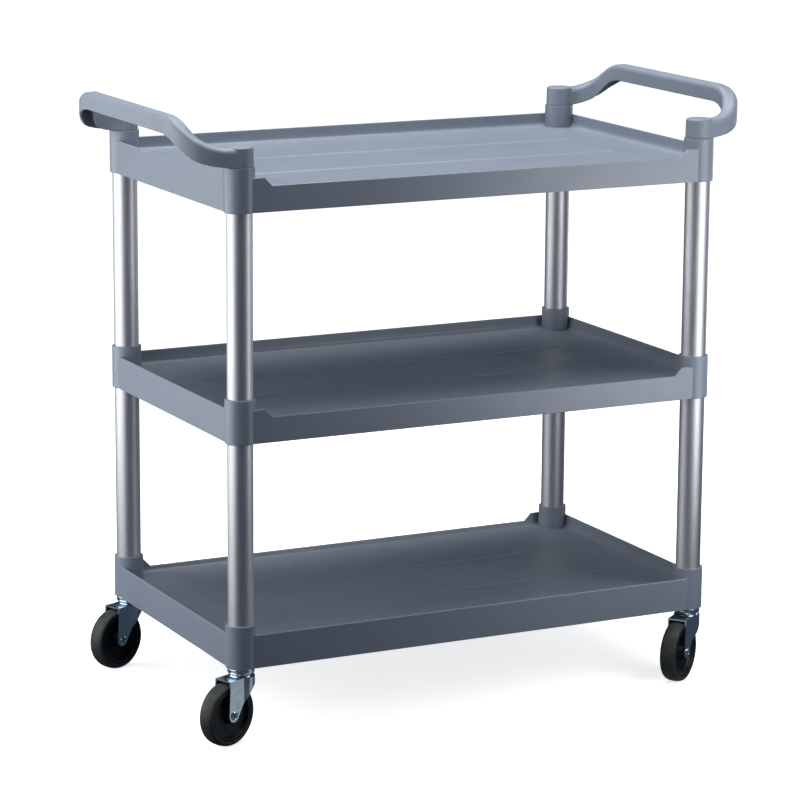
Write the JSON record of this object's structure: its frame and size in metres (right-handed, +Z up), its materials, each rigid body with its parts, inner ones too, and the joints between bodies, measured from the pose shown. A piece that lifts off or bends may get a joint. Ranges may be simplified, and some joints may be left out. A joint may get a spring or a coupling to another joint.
{
  "type": "food service trolley",
  "caption": "Open shelf trolley with moulded tray shelves on round aluminium posts, a loop handle at each end and swivel casters.",
  "frame": {"origin": "on the floor under the middle of the trolley", "axes": "+X along the shelves, -Y towards the side where the upper shelves have their lowered lip, +Z up"},
  "size_m": [1.038, 0.598, 1.015],
  "materials": {
    "grey_plastic": "moulded, light satin",
    "aluminium": "satin anodised",
    "zinc": "bright zinc plate",
    "tyre_rubber": "dark grey, smooth tread",
    "black_plastic": "moulded black"
  },
  "bodies": {
    "frame": {"bottom_shelf": "grey_plastic", "middle_shelf": "grey_plastic", "top_shelf": "grey_plastic", "right_handle": "grey_plastic", "left_handle": "grey_plastic", "lower_post_front_left": "aluminium", "lower_post_back_left": "aluminium", "lower_post_front_right": "aluminium", "lower_post_back_right": "aluminium", "upper_post_front_left": "aluminium", "upper_post_back_left": "aluminium", "upper_post_front_right": "aluminium", "upper_post_back_right": "aluminium", "caster_plug_front_left": "black_plastic", "caster_stem_front_left": "zinc", "upper_race_front_left": "zinc", "caster_plug_back_left": "black_plastic", "caster_stem_back_left": "zinc", "upper_race_back_left": "zinc", "caster_plug_front_right": "black_plastic", "caster_stem_front_right": "zinc", "upper_race_front_right": "zinc", "caster_plug_back_right": "black_plastic", "caster_stem_back_right": "zinc", "upper_race_back_right": "zinc"},
    "fork_body_front_left": {"fork_front_left": "zinc", "lower_race_front_left": "zinc", "axle_rivet_front_left": "zinc"},
    "wheel_front_left": {"wheel_core_front_left": "black_plastic", "axle_bush_front_left": "zinc", "tyre_front_left": "tyre_rubber"},
    "fork_body_back_left": {"fork_back_left": "zinc", "lower_race_back_left": "zinc", "axle_rivet_back_left": "zinc"},
    "wheel_back_left": {"wheel_core_back_left": "black_plastic", "axle_bush_back_left": "zinc", "tyre_back_left": "tyre_rubber"},
    "fork_body_front_right": {"fork_front_right": "zinc", "lower_race_front_right": "zinc", "axle_rivet_front_right": "zinc"},
    "wheel_front_right": {"wheel_core_front_right": "black_plastic", "axle_bush_front_right": "zinc", "tyre_front_right": "tyre_rubber"},
    "fork_body_back_right": {"fork_back_right": "zinc", "lower_race_back_right": "zinc", "axle_rivet_back_right": "zinc"},
    "wheel_back_right": {"wheel_core_back_right": "black_plastic", "axle_bush_back_right": "zinc", "tyre_back_right": "tyre_rubber"}
  },
  "joints": [
    {"name": "swivel_front_left", "type": "hinge", "parent": "frame", "child": "fork_body_front_left", "pos_m": [-0.4205, -0.239, 0.112], "axis": [0, 0, 1], "continuous": true},
    {"name": "roll_front_left", "type": "hinge", "parent": "fork_body_front_left", "child": "wheel_front_left", "pos_m": [-0.4518, -0.25228, 0.0525], "axis": [0.3907, -0.9205, 0], "continuous": true},
    {"name": "swivel_back_left", "type": "hinge", "parent": "frame", "child": "fork_body_back_left", "pos_m": [-0.4205, 0.239, 0.112], "axis": [0, 0, 1], "continuous": true},
    {"name": "roll_back_left", "type": "hinge", "parent": "fork_body_back_left", "child": "wheel_back_left", "pos_m": [-0.4518, 0.22571, 0.0525], "axis": [0.3907, -0.9205, 0], "continuous": true},
    {"name": "swivel_front_right", "type": "hinge", "parent": "frame", "child": "fork_body_front_right", "pos_m": [0.4205, -0.239, 0.112], "axis": [0, 0, 1], "continuous": true},
    {"name": "roll_front_right", "type": "hinge", "parent": "fork_body_front_right", "child": "wheel_front_right", "pos_m": [0.39299, -0.25899, 0.0525], "axis": [0.5878, -0.809, 0], "continuous": true},
    {"name": "swivel_back_right", "type": "hinge", "parent": "frame", "child": "fork_body_back_right", "pos_m": [0.4205, 0.239, 0.112], "axis": [0, 0, 1], "continuous": true},
    {"name": "roll_back_right", "type": "hinge", "parent": "fork_body_back_right", "child": "wheel_back_right", "pos_m": [0.39299, 0.25899, 0.0525], "axis": [-0.5878, -0.809, 0], "continuous": true}
  ]
}
